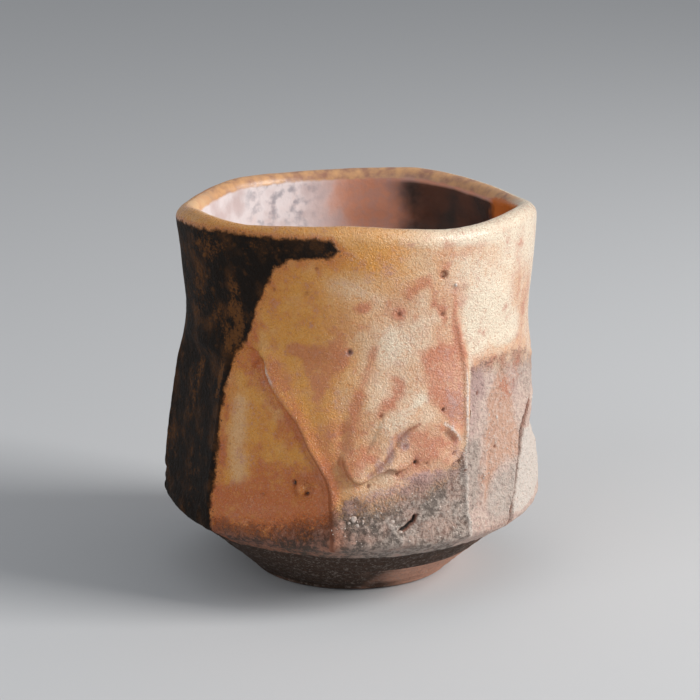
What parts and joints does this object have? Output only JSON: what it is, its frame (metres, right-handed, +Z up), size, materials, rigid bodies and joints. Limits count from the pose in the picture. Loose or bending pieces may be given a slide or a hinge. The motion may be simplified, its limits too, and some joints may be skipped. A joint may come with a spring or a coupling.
{
  "type": "yunomi tea cup",
  "caption": "Hand-made yunomi tea cup with a knife-faceted wall, a sharp hip, a trimmed foot ring and a glaze coat inside and out.",
  "frame": {"origin": "centre of the cup's box at the table, under the foot ring", "axes": "+Z up out of the mouth; -Y towards the face with the diagonal fold; +X towards the side with the open crack"},
  "size_m": [0.0854, 0.0857, 0.0857],
  "materials": {
    "clay": "rough fired stoneware with grey ash",
    "outer_coat": "satin golden glaze with a fine crystalline skin and scorched patches",
    "inner_coat": "glossy pale lilac to peach glaze"
  },
  "bodies": {
    "root": {"wall": "clay", "base": "clay", "foot_ring": "clay", "inner_glaze": "inner_coat", "outer_glaze": "outer_coat"}
  },
  "joints": []
}
